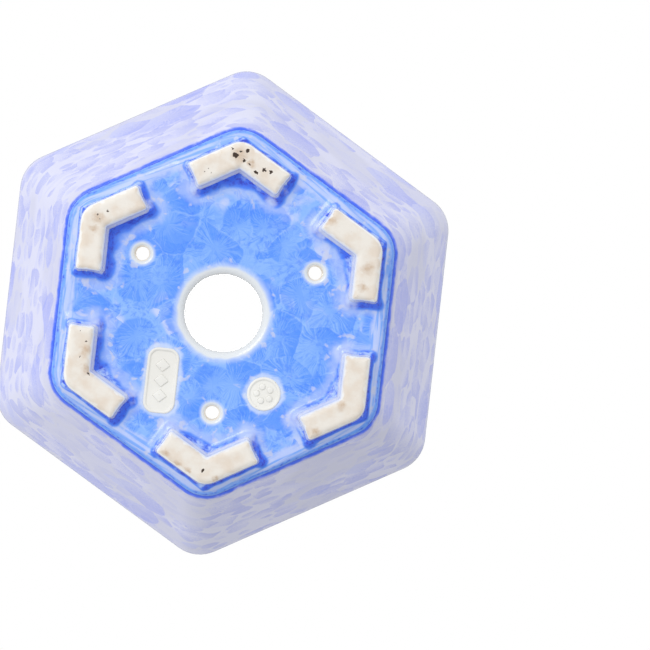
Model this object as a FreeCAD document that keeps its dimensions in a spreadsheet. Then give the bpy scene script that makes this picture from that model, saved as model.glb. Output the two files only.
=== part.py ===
"""Hexagonal bonsai pot: a flared clay wall on a rebated floor, six chevron feet, two seals and glaze coats.

Millimetres, +Z up. The origin is the centre of the plane that the feet stand on. Two of the pot's corners
point along -Y and +Y, and two of its flat sides face -X and +X.
"""

import FreeCAD, Part
import math
import os
import Sketcher

OUT = "parts"
SIDES = 6
SAME = 1e-4
V = FreeCAD.Vector

# every size that can be set by itself: name, value, what it is
DRIVING = [
    ("rim_flats", 135.4, "clay across the flats at the rim"),
    ("base_flats", 95.8, "clay across the flats at the foot of the wall"),
    ("clay_height", 79.5, "standing plane to the top of the clay wall"),
    ("wall_thickness", 5.0, "level thickness of the clay wall"),
    ("corner_radius", 10.8, "outside radius of the six upright corners"),
    ("lip_round", 1.9, "rounding of the lip's outer edge"),
    ("glaze_thickness", 0.5, "fired glaze coat"),
    ("foot_height", 6.5, "standing plane to the underside of the floor"),
    ("step_height", 2.6, "how far the floor stands out below the wall"),
    ("step_inset", 0.9, "how far the floor's edge sits in from the wall's face"),
    ("floor_thickness", 7.5, "underside of the floor to the inside of the pot"),
    ("floor_round", 2.2, "rounding of the floor's lower edge"),
    ("drain_radius", 11.1, "central drain hole"),
    ("drain_round", 2.2, "rounding of the drain hole's mouth"),
    ("wire_radius", 2.0, "holes for the wire that holds the tree"),
    ("wire_round", 1.1, "rounding of the wire holes' mouths"),
    ("wire_circle", 29.0, "radius of the circle of wire holes"),
    ("wire_count", 3, "number of wire holes"),
    ("foot_inset", 4.4, "foot's outer face, in from the wall's clay face"),
    ("foot_width", 7.5, "across one arm of a foot"),
    ("foot_arm", 17.5, "one arm of a foot along its outer edge"),
    ("foot_apex", 5.5, "outside radius where a foot's arms meet"),
    ("foot_draft", 8.0, "degrees that a foot's sides spread towards the floor"),
    ("foot_edge", 0.6, "rounding of a foot's standing face"),
    ("seal_relief", 0.8, "how far a seal stands out of the floor"),
    ("seal_field", 0.35, "depth of a seal's field below its border"),
    ("seal_border", 0.8, "width of a seal's raised border"),
    ("long_seal_length", 19.0, "long seal, along Y"),
    ("long_seal_breadth", 9.2, "long seal, along X"),
    ("long_seal_corner", 3.2, "long seal's corner radius"),
    ("long_seal_x", 15.6, "long seal's centre"),
    ("long_seal_y", -21.3, "long seal's centre"),
    ("lozenge_length", 4.0, "one lozenge of the long seal's motif"),
    ("lozenge_breadth", 4.4, "one lozenge, across"),
    ("lozenge_pitch", 4.4, "from one lozenge to the next"),
    ("lozenge_count", 3, "number of lozenges in the column"),
    ("round_seal_radius", 4.9, "round seal"),
    ("round_seal_x", -14.2, "round seal's centre"),
    ("round_seal_y", -21.9, "round seal's centre"),
    ("petal_radius", 0.85, "one petal of the round seal's blossom"),
    ("petal_circle", 2.1, "radius of the circle of petals"),
    ("petal_count", 5, "number of petals"),
]

# levels and outlines worked out from the driving sizes, as expressions
WALL_FOOT = "(sizes.foot_height + sizes.step_height)"
FLOOR_TOP = "(sizes.foot_height + sizes.floor_thickness)"
POT_TOP = "(sizes.clay_height + sizes.glaze_thickness)"
RIM_OUT = "(sizes.rim_flats / 2)"
BASE_OUT = "(sizes.base_flats / 2)"
RIM_IN = f"({RIM_OUT} - sizes.wall_thickness)"
BASE_IN = f"({BASE_OUT} - sizes.wall_thickness)"
INNER_CORNER = "(sizes.corner_radius - sizes.wall_thickness)"
FLARE = f"atan(({RIM_OUT} - {BASE_OUT}) / (sizes.clay_height - {WALL_FOOT}))"
FLANGE = f"({BASE_OUT} - sizes.step_inset)"
FLANGE_CORNER = "(sizes.corner_radius - sizes.step_inset)"


def drive_sizes(doc):
    """The sheet of driving sizes, one row each: value with its alias, then what the size is."""
    sheet = doc.addObject("Spreadsheet::Sheet", "sizes")
    for row, (alias, number, meaning) in enumerate(DRIVING, start=1):
        sheet.set(f"A{row}", str(number))
        sheet.setAlias(f"A{row}", alias)
        sheet.set(f"B{row}", meaning)
    doc.recompute()
    return sheet


def worked(doc, expression):
    """The number that an expression gives with the sheet's present sizes."""
    return float(doc.sizes.evalExpression(expression))


def bind(thing, path, expression):
    """Ties one property to the sheet."""
    thing.setExpression(path, expression)


def drive(sketch, constraint, name, expression):
    """Adds a dimension to a sketch under its own name and ties it to the sheet."""
    index = sketch.addConstraint(constraint)
    sketch.renameConstraint(index, name)
    bind(sketch, f"Constraints.{name}", expression)


def new_body(doc, name):
    body = doc.addObject("PartDesign::Body", name)
    body.Label = name
    return body


def plane_of(body, role):
    """One of the body's own origin planes."""
    return next(feature for feature in body.Origin.OriginFeatures if feature.Role == role)


def flat_sketch(body, name, level="0"):
    """A sketch on the body's XY plane, raised to a level."""
    sketch = body.newObject("Sketcher::SketchObject", name)
    sketch.AttachmentSupport = [(plane_of(body, "XY_Plane"), "")]
    sketch.MapMode = "FlatFace"
    bind(sketch, "AttachmentOffset.Base.z", level)
    return sketch


def turn_sketch(sketch, degrees):
    """Turns a raised sketch about Z."""
    level = sketch.AttachmentOffset.Base
    sketch.AttachmentOffset = FreeCAD.Placement(level, FreeCAD.Rotation(V(0, 0, 1), degrees))


def chain(sketch, arcs, lines):
    """Joins arcs and lines smoothly, each arc's end to its own line and that line's end to the next arc."""
    for here, (arc, line) in enumerate(zip(arcs, lines)):
        following = arcs[(here + 1) % len(arcs)]
        sketch.addConstraint(Sketcher.Constraint("Tangent", arc, 2, line, 1))
        sketch.addConstraint(Sketcher.Constraint("Tangent", line, 2, following, 1))
    for arc in arcs[1:]:
        sketch.addConstraint(Sketcher.Constraint("Equal", arcs[0], arc))


def rounded_outline(sketch, centres, radius):
    """Arcs round the given centres, anticlockwise, and the lines between them."""
    count = len(centres)
    arcs = []
    lines = []
    for here, centre in enumerate(centres):
        following = centres[(here + 1) % count]
        before = centres[here - 1]
        start = math.atan2(centre.y - before.y, centre.x - before.x) - math.pi / 2
        end = math.atan2(following.y - centre.y, following.x - centre.x) - math.pi / 2
        circle = Part.Circle(centre, V(0, 0, 1), radius)
        arcs.append(sketch.addGeometry(Part.ArcOfCircle(circle, start, end)))
        out = V(math.cos(end), math.sin(end), 0) * radius
        lines.append(sketch.addGeometry(Part.LineSegment(centre + out, following + out)))
    chain(sketch, arcs, lines)
    return arcs, lines


def hexagon(doc, sketch, apothem):
    """A regular hexagon with two corners on the Y axis, given as half its flats."""
    reach = f"({apothem} / cos(30))"
    distance = worked(doc, reach)
    turns = [math.radians(60 * side - 90) for side in range(SIDES)]
    corners = [V(distance * math.cos(turn), distance * math.sin(turn), 0) for turn in turns]
    circle = sketch.addGeometry(Part.Circle(V(0, 0, 0), V(0, 0, 1), distance), True)
    sketch.addConstraint(Sketcher.Constraint("Coincident", circle, 3, -1, 1))
    drive(sketch, Sketcher.Constraint("Radius", circle, distance), "reach", reach)
    edges = []
    for side in range(SIDES):
        edge = Part.LineSegment(corners[side], corners[(side + 1) % SIDES])
        edges.append(sketch.addGeometry(edge))
    for side, edge in enumerate(edges):
        sketch.addConstraint(Sketcher.Constraint("Coincident", edge, 2, edges[(side + 1) % SIDES], 1))
        sketch.addConstraint(Sketcher.Constraint("PointOnObject", edge, 1, circle))
    for edge in edges[1:]:
        sketch.addConstraint(Sketcher.Constraint("Equal", edges[0], edge))
    sketch.addConstraint(Sketcher.Constraint("PointOnObject", edges[0], 1, -2))


def rectangle(doc, sketch, breadth, length, corner):
    """A rectangle with rounded corners about the sketch's origin, breadth along X and length along Y."""
    wide = f"({breadth} - 2 * {corner})"
    tall = f"({length} - 2 * {corner})"
    half_x = worked(doc, wide) / 2
    half_y = worked(doc, tall) / 2
    centres = [V(half_x, -half_y, 0), V(half_x, half_y, 0), V(-half_x, half_y, 0), V(-half_x, -half_y, 0)]
    arcs, lines = rounded_outline(sketch, centres, worked(doc, corner))
    sketch.addConstraint(Sketcher.Constraint("Symmetric", arcs[0], 3, arcs[2], 3, -1, 1))
    sketch.addConstraint(Sketcher.Constraint("Symmetric", arcs[1], 3, arcs[3], 3, -1, 1))
    sketch.addConstraint(Sketcher.Constraint("Vertical", lines[0]))
    sketch.addConstraint(Sketcher.Constraint("Horizontal", lines[1]))
    drive(sketch, Sketcher.Constraint("Radius", arcs[0], worked(doc, corner)), "corner", corner)
    drive(sketch, Sketcher.Constraint("DistanceX", arcs[3], 3, arcs[0], 3, 2 * half_x), "wide", wide)
    drive(sketch, Sketcher.Constraint("DistanceY", arcs[0], 3, arcs[1], 3, 2 * half_y), "tall", tall)


def ring(doc, sketch, radius, away="0"):
    """A circle whose centre lies on the sketch's X axis, some way from the origin."""
    centre = V(worked(doc, away), 0, 0)
    circle = sketch.addGeometry(Part.Circle(centre, V(0, 0, 1), worked(doc, radius)))
    drive(sketch, Sketcher.Constraint("Radius", circle, worked(doc, radius)), "radius", radius)
    if away == "0":
        sketch.addConstraint(Sketcher.Constraint("Coincident", circle, 3, -1, 1))
        return
    sketch.addConstraint(Sketcher.Constraint("PointOnObject", circle, 3, -1))
    drive(sketch, Sketcher.Constraint("DistanceX", -1, 1, circle, 3, centre.x), "away", away)


def lozenge(doc, sketch, breadth, length, away):
    """A diamond whose centre lies on the sketch's Y axis, some way from the origin."""
    middle = worked(doc, away)
    half_x = worked(doc, breadth) / 2
    half_y = worked(doc, length) / 2
    points = [V(half_x, middle, 0), V(0, middle + half_y, 0)]
    points += [V(-half_x, middle, 0), V(0, middle - half_y, 0)]
    edges = []
    for here in range(4):
        edges.append(sketch.addGeometry(Part.LineSegment(points[here], points[(here + 1) % 4])))
    for here in range(4):
        sketch.addConstraint(Sketcher.Constraint("Coincident", edges[here], 2, edges[(here + 1) % 4], 1))
    sketch.addConstraint(Sketcher.Constraint("PointOnObject", edges[1], 1, -2))
    sketch.addConstraint(Sketcher.Constraint("PointOnObject", edges[3], 1, -2))
    sketch.addConstraint(Sketcher.Constraint("Symmetric", edges[0], 1, edges[2], 1, -2))
    sketch.addConstraint(Sketcher.Constraint("Equal", edges[0], edges[3]))
    drive(sketch, Sketcher.Constraint("DistanceX", edges[2], 1, edges[0], 1, 2 * half_x), "broad", breadth)
    drive(sketch, Sketcher.Constraint("DistanceY", edges[3], 1, edges[1], 1, 2 * half_y), "long", length)
    drive(sketch, Sketcher.Constraint("DistanceY", -1, 1, edges[0], 1, middle), "away", away)


def chevron(doc, sketch):
    """A foot's standing face: two arms in a V of 120 degrees whose rounded point lies towards +X."""
    tip = f"(({BASE_OUT} - sizes.foot_inset) / cos(30))"
    apex = V(worked(doc, tip), 0, 0)
    arm = worked(doc, "sizes.foot_arm")
    width = worked(doc, "sizes.foot_width")
    radius = worked(doc, "sizes.foot_apex")
    back = math.radians(120)
    along = V(math.cos(back), math.sin(back), 0)
    inward = V(-along.y, along.x, 0)
    outer = apex + along * arm
    inner = outer + inward * width
    notch = V(apex.x - width / math.cos(math.radians(30)), 0, 0)
    bend = V(apex.x - radius / math.cos(math.radians(30)), 0, 0)
    touch = bend - inward * radius

    def below(point):
        return V(point.x, -point.y, 0)

    corners = [touch, outer, inner, notch, below(inner), below(outer), below(touch)]
    edges = []
    for start, end in zip(corners, corners[1:]):
        edges.append(sketch.addGeometry(Part.LineSegment(start, end)))
    upper, upper_end, upper_back, lower_back, lower_end, lower = edges
    sweep = math.radians(30)
    arc = sketch.addGeometry(Part.ArcOfCircle(Part.Circle(bend, V(0, 0, 1), radius), -sweep, sweep))
    point = sketch.addGeometry(Part.Point(apex), True)
    for first, second in zip(edges, edges[1:]):
        sketch.addConstraint(Sketcher.Constraint("Coincident", first, 2, second, 1))
    sketch.addConstraint(Sketcher.Constraint("Tangent", arc, 2, upper, 1))
    sketch.addConstraint(Sketcher.Constraint("Tangent", lower, 2, arc, 1))
    sketch.addConstraint(Sketcher.Constraint("PointOnObject", upper_back, 2, -1))
    sketch.addConstraint(Sketcher.Constraint("PointOnObject", arc, 3, -1))
    sketch.addConstraint(Sketcher.Constraint("Symmetric", upper, 2, lower_end, 2, -1))
    sketch.addConstraint(Sketcher.Constraint("Symmetric", upper_end, 2, lower_back, 2, -1))
    sketch.addConstraint(Sketcher.Constraint("Perpendicular", upper, upper_end))
    sketch.addConstraint(Sketcher.Constraint("Parallel", upper, upper_back))
    sketch.addConstraint(Sketcher.Constraint("PointOnObject", point, 1, -1))
    sketch.addConstraint(Sketcher.Constraint("PointOnObject", point, 1, upper))
    sketch.addConstraint(Sketcher.Constraint("Angle", -1, 1, upper, 1, back))
    drive(sketch, Sketcher.Constraint("DistanceX", -1, 1, point, 1, apex.x), "tip", tip)
    drive(sketch, Sketcher.Constraint("Distance", point, 1, upper, 2, arm), "arm", "sizes.foot_arm")
    drive(sketch, Sketcher.Constraint("Distance", upper_end, width), "width", "sizes.foot_width")
    drive(sketch, Sketcher.Constraint("Radius", arc, radius), "apex", "sizes.foot_apex")


def pad(body, sketch, length, down=False):
    """Raises a sketch, or lowers it, into solid."""
    feature = body.newObject("PartDesign::Pad", f"{sketch.Name}_pad")
    feature.Profile = sketch
    feature.Reversed = down
    bind(feature, "Length", length)
    return feature


def pocket(body, sketch, depth, upward=True):
    """Cuts a sketch into the solid above it, or below it."""
    feature = body.newObject("PartDesign::Pocket", f"{sketch.Name}_pocket")
    feature.Profile = sketch
    feature.Reversed = upward
    bind(feature, "Length", depth)
    return feature


def round_over(doc, body, radius, wanted):
    """Rounds the edges of the body's last feature that fit a test."""
    doc.recompute()
    base = body.Tip
    chosen = [f"Edge{number}" for number, edge in enumerate(base.Shape.Edges, start=1) if wanted(edge)]
    feature = body.newObject("PartDesign::Fillet", f"{base.Name}_round")
    feature.Base = (base, chosen)
    bind(feature, "Radius", radius)
    return feature


def heights(edge):
    """The lowest and highest points of an edge."""
    levels = [point.z for point in edge.discretize(5)]
    return min(levels), max(levels)


def at_level(height):
    """A test for edges that lie at one height."""
    return lambda edge: abs(heights(edge)[0] - height) < SAME and abs(heights(edge)[1] - height) < SAME


def rising(low, high):
    """A test for edges that climb from one height to another."""
    return lambda edge: abs(heights(edge)[0] - low) < SAME and abs(heights(edge)[1] - high) < SAME


def flare(doc, body):
    """Leans the sides of the body's last pad outwards about its lower face."""
    doc.recompute()
    base = body.Tip
    low, high = base.Shape.BoundBox.ZMin, base.Shape.BoundBox.ZMax
    sides = []
    for number, face in enumerate(base.Shape.Faces, start=1):
        if face.BoundBox.ZLength > SAME:
            sides.append(f"Face{number}")
        elif face.BoundBox.ZMax < (low + high) / 2:
            under = f"Face{number}"
    feature = body.newObject("PartDesign::Draft", f"{base.Name}_flare")
    feature.Base = (base, sides)
    feature.NeutralPlane = (base, [under])
    feature.Reversed = True
    bind(feature, "Angle", FLARE)


def flared_block(doc, name, apothem, low, high, corner):
    """Solid with the pot's flare on a hexagon, given by half its flats at the low level."""
    body = new_body(doc, name)
    sketch = flat_sketch(body, f"{name}_outline", low)
    hexagon(doc, sketch, apothem)
    pad(body, sketch, f"{high} - {low}")
    flare(doc, body)
    round_over(doc, body, corner, rising(worked(doc, low), worked(doc, high)))
    return body


def make_wall_blank(doc):
    """The wall before its inside is taken out, with the lip's outer edge rounded."""
    top = "sizes.clay_height"
    blank = flared_block(doc, "wall_blank", BASE_OUT, WALL_FOOT, top, "sizes.corner_radius")
    round_over(doc, blank, "sizes.lip_round", at_level(worked(doc, top)))
    return blank


def make_side_wall(doc, blank):
    """The clay wall: the blank less the room inside it."""
    room = flared_block(doc, "soil_room", BASE_IN, WALL_FOOT, "sizes.clay_height", INNER_CORNER)
    wall = doc.addObject("Part::Cut", "side_wall")
    wall.Base = blank
    wall.Tool = room
    return wall


def make_wall_glaze(doc, blank):
    """The coat on the outside of the wall and over its lip, ending at the lip's inner edge."""
    swell = "sizes.glaze_thickness"
    corner = f"sizes.corner_radius + {swell}"
    outside = flared_block(doc, "glaze_blank", f"({BASE_OUT} + {swell})", WALL_FOOT, POT_TOP, corner)
    round_over(doc, outside, f"sizes.lip_round + {swell}", at_level(worked(doc, POT_TOP)))
    coat = doc.addObject("Part::Cut", "glaze_cap")
    coat.Base = outside
    coat.Tool = blank
    mouth = new_body(doc, "lip_mouth")
    outline = flat_sketch(mouth, "lip_mouth_outline", "sizes.clay_height")
    hexagon(doc, outline, RIM_IN)
    pad(mouth, outline, f"2 * {swell}")
    top = worked(doc, f"sizes.clay_height + 2 * {swell}")
    round_over(doc, mouth, INNER_CORNER, rising(worked(doc, "sizes.clay_height"), top))
    glaze = doc.addObject("Part::Cut", "wall_glaze")
    glaze.Base = coat
    glaze.Tool = mouth
    return glaze


def make_floor_slab(doc):
    """The floor: a flange that the wall stands on, a plug that fills the wall's foot, and the holes."""
    body = flared_block(doc, "floor_slab", BASE_IN, WALL_FOOT, FLOOR_TOP, INNER_CORNER)
    under = worked(doc, "sizes.foot_height")
    flange = flat_sketch(body, "flange", "sizes.foot_height")
    hexagon(doc, flange, FLANGE)
    pad(body, flange, "sizes.step_height")
    round_over(doc, body, FLANGE_CORNER, rising(under, worked(doc, WALL_FOOT)))
    round_over(doc, body, "sizes.floor_round", at_level(under))
    drain = flat_sketch(body, "drain", "sizes.foot_height")
    ring(doc, drain, "sizes.drain_radius")
    pocket(body, drain, "sizes.floor_thickness")
    wire = flat_sketch(body, "wire", "sizes.foot_height")
    turn_sketch(wire, -90)
    ring(doc, wire, "sizes.wire_radius", "sizes.wire_circle")
    hole = pocket(body, wire, "sizes.floor_thickness")
    around = body.newObject("PartDesign::PolarPattern", "wire_holes")
    around.Originals = [hole]
    around.Axis = (plane_of(body, "Z_Axis"), [""])
    around.Angle = 360
    bind(around, "Occurrences", "sizes.wire_count")
    body.Tip = around
    round_mouths(doc, body)
    return body


def round_mouths(doc, body):
    """Rounds the drain hole's and the wire holes' edges on the underside."""
    under = at_level(worked(doc, "sizes.foot_height"))
    drain = worked(doc, "sizes.drain_radius")
    wire = worked(doc, "sizes.wire_radius")

    def circle_of(edge, radius):
        return edge.Curve.TypeId == "Part::GeomCircle" and abs(edge.Curve.Radius - radius) < SAME

    def drain_mouth(edge):
        return under(edge) and circle_of(edge, drain)

    def wire_mouth(edge):
        return under(edge) and circle_of(edge, wire)

    round_over(doc, body, "sizes.drain_round", drain_mouth)
    round_over(doc, body, "sizes.wire_round", wire_mouth)


def make_foot(doc, number):
    """One chevron foot under the floor at its own corner, tapering down to the standing face."""
    body = new_body(doc, f"foot_{number}")
    face = flat_sketch(body, f"foot_{number}_face")
    chevron(doc, face)
    feature = pad(body, face, "sizes.foot_height")
    bind(feature, "TaperAngle", "sizes.foot_draft")
    round_over(doc, body, "sizes.foot_edge", at_level(0))
    body.Placement = FreeCAD.Placement(V(0, 0, 0), FreeCAD.Rotation(V(0, 0, 1), 60 * number - 150))
    return body


def place_seal(body, across, along):
    """Hangs a seal, modelled downwards from its own origin, under the floor."""
    bind(body, "Placement.Base.x", across)
    bind(body, "Placement.Base.y", along)
    bind(body, "Placement.Base.z", "sizes.foot_height")


def long_pad(doc, name):
    """The long seal's rounded pad of clay, in place."""
    body = new_body(doc, name)
    outline = flat_sketch(body, f"{name}_outline")
    rectangle(doc, outline, "sizes.long_seal_breadth", "sizes.long_seal_length", "sizes.long_seal_corner")
    pad(body, outline, "sizes.seal_relief", down=True)
    place_seal(body, "sizes.long_seal_x", "sizes.long_seal_y")
    return body


def make_long_seal(doc):
    """The long seal: its pad, cut back inside a raised border, with a column of lozenges."""
    body = long_pad(doc, "seal_long")
    field = flat_sketch(body, "long_field", "-sizes.seal_relief")
    inset = "sizes.seal_border"
    rectangle(
        doc,
        field,
        f"(sizes.long_seal_breadth - 2 * {inset})",
        f"(sizes.long_seal_length - 2 * {inset})",
        f"(sizes.long_seal_corner - {inset})",
    )
    pocket(body, field, "sizes.seal_field")
    motif = flat_sketch(body, "lozenge", "sizes.seal_field - sizes.seal_relief")
    first = "-sizes.lozenge_pitch * (sizes.lozenge_count - 1) / 2"
    lozenge(doc, motif, "sizes.lozenge_breadth", "sizes.lozenge_length", first)
    raised = pad(body, motif, "sizes.seal_field", down=True)
    column = body.newObject("PartDesign::LinearPattern", "lozenges")
    column.Originals = [raised]
    column.Direction = (plane_of(body, "Y_Axis"), [""])
    bind(column, "Length", "sizes.lozenge_pitch * (sizes.lozenge_count - 1)")
    bind(column, "Occurrences", "sizes.lozenge_count")
    body.Tip = column
    return body


def round_pad(doc, name):
    """The round seal's disc of clay, in place."""
    body = new_body(doc, name)
    outline = flat_sketch(body, f"{name}_outline")
    ring(doc, outline, "sizes.round_seal_radius")
    pad(body, outline, "sizes.seal_relief", down=True)
    place_seal(body, "sizes.round_seal_x", "sizes.round_seal_y")
    return body


def make_round_seal(doc):
    """The round seal: its disc, cut back inside a raised border, with a blossom of round petals."""
    body = round_pad(doc, "seal_round")
    field = flat_sketch(body, "disc_field", "-sizes.seal_relief")
    ring(doc, field, "(sizes.round_seal_radius - sizes.seal_border)")
    pocket(body, field, "sizes.seal_field")
    petal = flat_sketch(body, "petal", "sizes.seal_field - sizes.seal_relief")
    ring(doc, petal, "sizes.petal_radius", "sizes.petal_circle")
    raised = pad(body, petal, "sizes.seal_field", down=True)
    blossom = body.newObject("PartDesign::PolarPattern", "petals")
    blossom.Originals = [raised]
    blossom.Axis = (plane_of(body, "Z_Axis"), [""])
    blossom.Angle = 360
    bind(blossom, "Occurrences", "sizes.petal_count")
    body.Tip = blossom
    return body


def hole_mask(doc, name, radius, across="0", along="0"):
    """A plug as wide as a hole's rounded mouth, where the glaze stops."""
    mask = doc.addObject("Part::Cylinder", name)
    bind(mask, "Radius", radius)
    bind(mask, "Height", FLOOR_TOP)
    bind(mask, "Placement.Base.x", across)
    bind(mask, "Placement.Base.y", along)
    return mask


def make_floor_glaze(doc, fitted):
    """The coat under the floor and round its edge, cut out for what is fitted there and for the holes."""
    swell = "sizes.glaze_thickness"
    body = new_body(doc, "floor_coat")
    outline = flat_sketch(body, "floor_coat_outline", f"sizes.foot_height - {swell}")
    hexagon(doc, outline, f"({FLANGE} + {swell})")
    pad(body, outline, f"sizes.step_height + {swell}")
    lowest = worked(doc, f"sizes.foot_height - {swell}")
    round_over(doc, body, f"{FLANGE_CORNER} + {swell}", rising(lowest, worked(doc, WALL_FOOT)))
    round_over(doc, body, f"sizes.floor_round + {swell}", at_level(lowest))
    masks = [long_pad(doc, "long_mask"), round_pad(doc, "round_mask")]
    masks.append(hole_mask(doc, "drain_mask", "sizes.drain_radius + sizes.drain_round"))
    for number in range(int(worked(doc, "sizes.wire_count"))):
        turn = f"(360 / sizes.wire_count * {number} - 90)"
        across = f"sizes.wire_circle * cos({turn})"
        along = f"sizes.wire_circle * sin({turn})"
        mouth = "sizes.wire_radius + sizes.wire_round"
        masks.append(hole_mask(doc, f"wire_mask_{number + 1}", mouth, across, along))
    bare = doc.addObject("Part::MultiFuse", "bare_of_glaze")
    bare.Shapes = fitted + masks
    glaze = doc.addObject("Part::Cut", "floor_glaze")
    glaze.Base = body
    glaze.Tool = bare
    return glaze


def check(doc, nodes):
    """Stops unless every object built and every sub-part is one valid solid."""
    for thing in doc.Objects:
        if {"Invalid", "Error"} & set(thing.State):
            raise SystemExit(f"{thing.Name} failed: {thing.State}")
    for node in nodes:
        shape = node.Shape
        if shape.isNull() or not shape.isValid():
            raise SystemExit(f"{node.Label} has no valid shape")
        if len(shape.Solids) != 1:
            raise SystemExit(f"{node.Label} has {len(shape.Solids)} solids")


def main():
    doc = FreeCAD.newDocument("bonsai_pot")
    drive_sizes(doc)
    blank = make_wall_blank(doc)
    wall = make_side_wall(doc, blank)
    floor = make_floor_slab(doc)
    feet = [make_foot(doc, number) for number in range(1, SIDES + 1)]
    seals = [make_long_seal(doc), make_round_seal(doc)]
    coats = [make_wall_glaze(doc, blank), make_floor_glaze(doc, [floor] + feet)]
    nodes = [wall, floor] + feet + seals + coats
    doc.recompute()
    check(doc, nodes)
    os.makedirs(OUT, exist_ok=True)
    for node in nodes:
        box = node.Shape.BoundBox
        node.Shape.exportStep(os.path.join(OUT, f"{node.Label}.step"))
        print(f"{node.Label}: {node.Shape.Volume:.1f} mm3, Z {box.ZMin:.2f} to {box.ZMax:.2f}")


main()
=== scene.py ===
# %% [markdown]
# # A hexagonal bonsai pot with a crystalline glaze
# The pot is a flared clay wall on a clay floor, with six chevron feet, two small seals and a blue glaze
# whose crystals grew in the kiln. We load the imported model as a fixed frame, and model each piece again
# over its plain node, because glaze lives in soft edges: it runs thin and white over them and pools dark
# in the corners.

# %% Load the frame
import math
import bmesh
import bpy
from mathutils import Matrix, Vector


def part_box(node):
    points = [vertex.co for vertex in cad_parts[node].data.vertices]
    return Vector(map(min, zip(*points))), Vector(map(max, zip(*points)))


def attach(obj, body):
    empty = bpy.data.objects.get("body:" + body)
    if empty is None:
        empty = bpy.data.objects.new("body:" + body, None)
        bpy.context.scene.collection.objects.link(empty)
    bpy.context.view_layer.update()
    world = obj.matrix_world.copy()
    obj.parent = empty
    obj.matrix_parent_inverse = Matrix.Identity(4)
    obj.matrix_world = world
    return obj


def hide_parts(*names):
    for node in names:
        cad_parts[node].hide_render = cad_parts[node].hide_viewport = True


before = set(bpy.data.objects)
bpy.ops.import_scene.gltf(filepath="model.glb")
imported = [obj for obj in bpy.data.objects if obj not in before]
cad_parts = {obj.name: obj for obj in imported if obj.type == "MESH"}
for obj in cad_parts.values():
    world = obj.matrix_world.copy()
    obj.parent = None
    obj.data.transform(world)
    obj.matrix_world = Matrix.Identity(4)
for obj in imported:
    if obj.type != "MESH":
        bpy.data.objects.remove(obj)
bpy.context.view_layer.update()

# %% [markdown]
# ## The sizes
# Every size is read from the frame's nodes, so the new pieces can't drift from the design. Lengths are in
# metres, and MM turns a millimetre into them.

# %% Read the sizes
MM = 0.001
SIDES = 6
COS30 = math.cos(math.radians(30))


def low_of(node):
    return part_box(node)[0]


def high_of(node):
    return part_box(node)[1]


TOP = high_of("wall_glaze").z
CLAY_TOP = high_of("side_wall").z
UNDER = low_of("floor_slab").z
WALL_FOOT = low_of("side_wall").z
FLOOR_TOP = high_of("floor_slab").z
GLAZE = UNDER - low_of("floor_glaze").z
FLANGE_HALF = high_of("floor_slab").x
print("top", TOP, "under", UNDER, "wall foot", WALL_FOOT, "floor top", FLOOR_TOP, "glaze", GLAZE)

# %% [markdown]
# The flare and the hole sizes aren't in any box, so they are given here as the design has them.

# %% Sizes that a box can't give
BASE_HALF = 47.9 * MM
RIM_HALF = 67.7 * MM
WALL = 5.0 * MM
CORNER = 10.8 * MM
FLARE = (RIM_HALF - BASE_HALF) / (CLAY_TOP - WALL_FOOT)
STEP_INSET = 0.9 * MM
FLOOR_ROUND = 2.2 * MM
DRAIN = 11.1 * MM
DRAIN_ROUND = 2.2 * MM
WIRE = 2.0 * MM
WIRE_ROUND = 1.1 * MM
WIRE_CIRCLE = 29.0 * MM


def facing(turn):
    """The flat direction at an angle."""
    return Vector((math.cos(turn), math.sin(turn)))


WIRE_PLACES = [facing(turn) * WIRE_CIRCLE for turn in (-math.pi / 2, math.pi / 6, 5 * math.pi / 6)]
FOOT_INSET = 4.4 * MM
FOOT_WIDTH = 7.5 * MM
FOOT_ARM = 17.5 * MM
FOOT_APEX = 5.5 * MM
print("flare", round(FLARE, 3), "mm out per mm up")


def half_flats(height):
    """Half the clay's width across its flats at a height."""
    return BASE_HALF + (height - WALL_FOOT) * FLARE


# %% [markdown]
# ## Outlines with rounded corners
# The wall, the floor, the feet and the long seal are all polygons with rounded corners. One helper walks
# round such a polygon and gives the same number of points whatever it is grown by, so that outlines of
# different sizes can be stitched into a surface, one loop after another.

# %% Walk round a polygon
OUTLINE_STEP = 0.8 * MM
LEAST_RADIUS = 0.02 * MM
POINTS_A_SIDE = 40
HEXAGON = [facing(math.radians(60 * k - 90)) for k in range(SIDES)]


def side_counts(corners):
    """How many points each side of a polygon gets."""
    sides = [(corners[(i + 1) % len(corners)] - corners[i]).length for i in range(len(corners))]
    return [max(2, round(side / OUTLINE_STEP)) for side in sides]


def polygon_loop(corners, radii, grow=0.0, counts=None, bend_points=8):
    """Points round a polygon given anticlockwise, its corners rounded and the whole grown outwards."""
    counts = counts or side_counts(corners)
    count = len(corners)
    ways = [(corners[(i + 1) % count] - corners[i]).normalized() for i in range(count)]
    outs = [Vector((way.y, -way.x)) for way in ways]
    bends = []
    for i in range(count):
        before, after = ways[i - 1], ways[i]
        turn = math.atan2(before.x * after.y - before.y * after.x, before.dot(after))
        sign = 1 if turn > 0 else -1
        radius = max(radii[i] + sign * grow, LEAST_RADIUS)
        outward = (outs[i - 1] + outs[i]) / (1 + outs[i - 1].dot(outs[i]))
        middle = corners[i] + outward * (grow - sign * radius)
        turns = [Matrix.Rotation(turn * k / bend_points, 2) for k in range(bend_points + 1)]
        bends.append([middle + (turned @ outs[i - 1]) * radius * sign for turned in turns])
    points = []
    for i, bend in enumerate(bends):
        arrive = bends[(i + 1) % count][0]
        points += bend + [bend[-1].lerp(arrive, k / counts[i]) for k in range(1, counts[i])]
    return points


def hexagon_loop(half, corner):
    """A hexagon given as half its flats."""
    corners = [point * (half / COS30) for point in HEXAGON]
    return polygon_loop(corners, [corner] * SIDES, counts=[POINTS_A_SIDE] * SIDES)


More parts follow.
